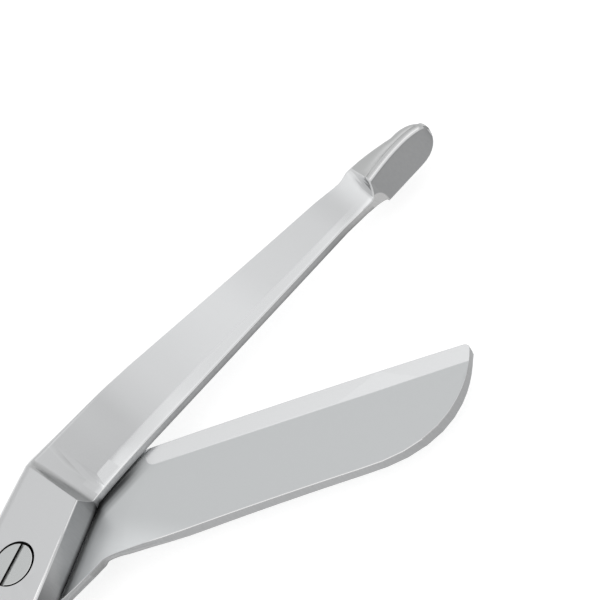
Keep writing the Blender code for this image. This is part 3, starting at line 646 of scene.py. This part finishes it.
# %% Screw
SHAFT_RADIUS = 2.1       # mm, like all the screw's sizes
HEAD_RADIUS = 2.93
HEAD_BOTTOM = 6.9        # heights above the surface that the scissors lie on
HEAD_TOP = 8.56
SLOT_WIDTH = 0.7
SLOT_DEPTH = 0.3
SLOT_ANGLE = math.radians(17.0)
SAW_LENGTH = 2.4 * HEAD_RADIUS           # sawn through from rim to rim
RIM = 0.08               # chamfer on the head and on the shaft's end
RIM_STEPS = 3
HEAD_PLAY = Vector((-0.08, 0.08, 0.0))   # the head sits a little to one side of its seat
SIDES = 96               # round even in a close view
NEAR = 0.01              # mm, to find the points at a height or a radius

bpy.ops.object.select_all(action="DESELECT")
bpy.ops.mesh.primitive_cylinder_add(vertices=SIDES, radius=SHAFT_RADIUS * MM, depth=HEAD_BOTTOM * MM,
                                    location=(0, 0, HEAD_BOTTOM / 2 * MM))
screw = bpy.context.active_object
screw.name = screw.data.name = "pivot_screw_steel"
bpy.ops.object.transform_apply(location=True, rotation=True, scale=True)


def select_faces(item, test):
    """Select the faces for which test(face) is true, and leave edit mode in face mode."""
    only(item)
    bpy.ops.object.mode_set(mode="EDIT")
    bpy.ops.mesh.select_mode(type="FACE")
    bpy.ops.mesh.select_all(action="DESELECT")
    bpy.ops.object.mode_set(mode="OBJECT")
    for face in item.data.polygons:
        face.select = test(face)
    bpy.ops.object.mode_set(mode="EDIT")


def select_rim(item, height, radius):
    """Select the round edge at this height and radius."""
    only(item)
    bpy.ops.object.mode_set(mode="EDIT")
    bpy.ops.mesh.select_mode(type="EDGE")
    bpy.ops.mesh.select_all(action="DESELECT")
    bpy.ops.object.mode_set(mode="OBJECT")
    for edge in item.data.edges:
        ends = [item.data.vertices[i].co / MM for i in edge.vertices]
        edge.select = all(abs(end.z - height) < NEAR and abs(math.hypot(end.x, end.y) - radius) < NEAR
                          for end in ends)
    bpy.ops.object.mode_set(mode="EDIT")


select_faces(screw, lambda face: face.normal.z > FLAT)
bpy.ops.mesh.extrude_region_move(TRANSFORM_OT_translate={"value": (0, 0, 0)})
bpy.ops.transform.resize(value=(HEAD_RADIUS / SHAFT_RADIUS, HEAD_RADIUS / SHAFT_RADIUS, 1))
bpy.ops.mesh.extrude_region_move(TRANSFORM_OT_translate={"value": (0, 0, (HEAD_TOP - HEAD_BOTTOM) * MM)})
bpy.ops.object.mode_set(mode="OBJECT")
for height, radius in ((HEAD_TOP, HEAD_RADIUS), (0.0, SHAFT_RADIUS)):
    select_rim(screw, height, radius)
    bpy.ops.mesh.bevel(offset=RIM * MM, offset_type="OFFSET", segments=RIM_STEPS, profile=0.5)
    bpy.ops.object.mode_set(mode="OBJECT")

bpy.ops.object.select_all(action="DESELECT")
bpy.ops.mesh.primitive_cube_add(size=1.0, location=(0, 0, HEAD_TOP * MM), rotation=(0, 0, SLOT_ANGLE))
saw = bpy.context.active_object
saw.scale = (SAW_LENGTH * MM, SLOT_WIDTH * MM, 2 * SLOT_DEPTH * MM)
bpy.context.view_layer.update()
apply_modifier(screw, "BOOLEAN", object=saw, operation="DIFFERENCE", solver="EXACT")
bpy.data.objects.remove(saw)
for vertex in screw.data.vertices:
    if vertex.co.z > (HEAD_BOTTOM - NEAR) * MM:
        vertex.co += HEAD_PLAY * MM
print("screw:", len(screw.data.polygons), "faces")

# %% [markdown]
# The lathe leaves fine rings on the head. Their real spacing is about 0.05 mm, and they are drawn at
# 0.3 mm so that they show. They could be turned into the mesh, but they are far too shallow to be
# seen as a shape. The slot's floor keeps the saw's rough marks. The slot's walls, the shaft and the
# side of the head are near-black painted shade, for the shadow in their gaps.

# %% Screw finish
RING_SPACING = 0.3       # mm
RING_WOBBLE = 0.4
WALL = 0.3               # largest height part of an upright wall's normal
SLOT_MARGIN, FLOOR_MARGIN = 0.1, 0.05    # mm round the slot and from its floor and mouth
SAWN, SHADED_GAP = 1, 2        # places in the screw's list of finishes; 0 is turned

turned = steel("turned_stainless", "#bcbebe", 0.30, (0.3, 0.3, 0.3), 0.02)
tree = turned.node_tree
rings = node(tree, "ShaderNodeTexWave", [("wave_type", "RINGS"), ("rings_direction", "Z"),
                                         ("Scale", 1 / (RING_SPACING * 2 * math.pi)),
                                         ("Distortion", RING_WOBBLE)],
             ("Vector", tree.nodes["place in mm"].outputs["Vector"]))
tree.links.new(rings.outputs["Fac"], tree.nodes["marks"].inputs["Height"])
sawn = steel("sawn_slot", "#b6b8b8", 0.42, (0.2, 0.2, 0.2), 0.2)
for material in (turned, sawn, gap_shade):
    screw.data.materials.append(material)
smooth(screw)
store_wear_and_highlight(screw, UPPER, PROBE_AXES)
across = Vector((-math.sin(SLOT_ANGLE), math.cos(SLOT_ANGLE), 0.0))
lowest, highest = HEAD_TOP - SLOT_DEPTH - FLOOR_MARGIN, HEAD_TOP - FLOOR_MARGIN
# The slot's walls and the walls round the screw get the near-black painted shade.
for face in screw.data.polygons:
    centre = face.center / MM
    in_slot = (abs(centre.dot(across)) < SLOT_WIDTH / 2 + SLOT_MARGIN
               and lowest < centre.z < highest)
    wall = abs(face.normal.z) < WALL
    if in_slot:
        face.material_index = SHADED_GAP if wall else SAWN
    elif wall and centre.z > RIM:
        face.material_index = SHADED_GAP
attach(screw, "plain_half")
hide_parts("pivot_screw")
print("screw finishes:", [sum(f.material_index == i for f in screw.data.polygons) for i in range(3)])

# %% [markdown]
# ## Floor
# The photograph has a pure white ground with hardly any shadow. More light would bleach the steel, so
# the floor is a pale sheet that takes the soft shadow, with a little light of its own that is only
# seen by the camera and by reflections. The steel then mirrors a white table, as the real one does.

# %% Floor
FLOOR_SIZE = 4.0         # m
FLOOR_COLOUR = "#bcbcbc"
FLOOR_GLOW = 0.70        # its own light, as a share of lit white paper

bpy.ops.object.select_all(action="DESELECT")
bpy.ops.mesh.primitive_plane_add(size=FLOOR_SIZE, location=(0, 0, 0))
floor = bpy.context.active_object
floor.name = "floor"
paper = bpy.data.materials.new("matt_white_paper")
paper.use_nodes = True
tree = paper.node_tree
tree.nodes.clear()
ray = node(tree, "ShaderNodeLightPath")
seen = ray.outputs["Is Camera Ray"]
for other in ("Is Glossy Ray", "Is Transmission Ray"):
    seen = node(tree, "ShaderNodeMath", [("operation", "MAXIMUM")], (0, seen),
                (1, ray.outputs[other])).outputs[0]
lift = node(tree, "ShaderNodeMath", [("operation", "MULTIPLY"), (1, FLOOR_GLOW)], (0, seen))
matt = node(tree, "ShaderNodeBsdfDiffuse", [("Color", linear(FLOOR_COLOUR))])
glow = node(tree, "ShaderNodeEmission", [], ("Strength", lift.outputs[0]))
both = node(tree, "ShaderNodeAddShader", [], (0, matt.outputs[0]), (1, glow.outputs[0]))
node(tree, "ShaderNodeOutputMaterial", [], ("Surface", both.outputs[0]))
floor.data.materials.append(paper)
print("floor", FLOOR_SIZE, "m")

# %% [markdown]
# ## Light
# The steel shows the studio more than its own colour, so the light decides how it looks. The real
# one was shot in a light tent: bright above, a little darker toward the sides. A gradient world gives
# that, and one large softbox behind and above gives the blades their slow change of tone and the
# floor its direction of shadow. A few small lamps would leave sharp shines on the steel instead.

# %% Light
SKY = ((0.0, 0.78), (0.3, 0.86), (0.7, 0.91), (1.0, 0.76))    # radiance by height, 1 straight up
SOFTBOX_PLACE = Vector((0.10, 0.40, 0.73))
SOFTBOX_AIM = Vector((0.03, 0.0, 0.0))
SOFTBOX_SIZE = 0.42      # m
SOFTBOX_RADIANCE = 0.36  # with 1 it looks as bright as lit white paper

world = bpy.data.worlds.new("light_tent")
bpy.context.scene.world = world
world.use_nodes = True
tree = world.node_tree
where = node(tree, "ShaderNodeTexCoord")
sky = shade_along(tree, where.outputs["Generated"], UP, SKY)
tree.links.new(sky, tree.nodes["Background"].inputs["Strength"])
tree.nodes["Background"].inputs["Color"].default_value = (1, 1, 1, 1)

light = bpy.data.lights.new("softbox", "AREA")
light.shape = "SQUARE"
light.size = SOFTBOX_SIZE
light.energy = SOFTBOX_RADIANCE * math.pi * SOFTBOX_SIZE ** 2
softbox = bpy.data.objects.new("softbox", light)
bpy.context.scene.collection.objects.link(softbox)
softbox.location = SOFTBOX_PLACE
softbox.rotation_euler = (SOFTBOX_AIM - SOFTBOX_PLACE).to_track_quat("-Z", "Y").to_euler()
print("light:", world.name, "and", softbox.name, round(light.energy, 3), "W")
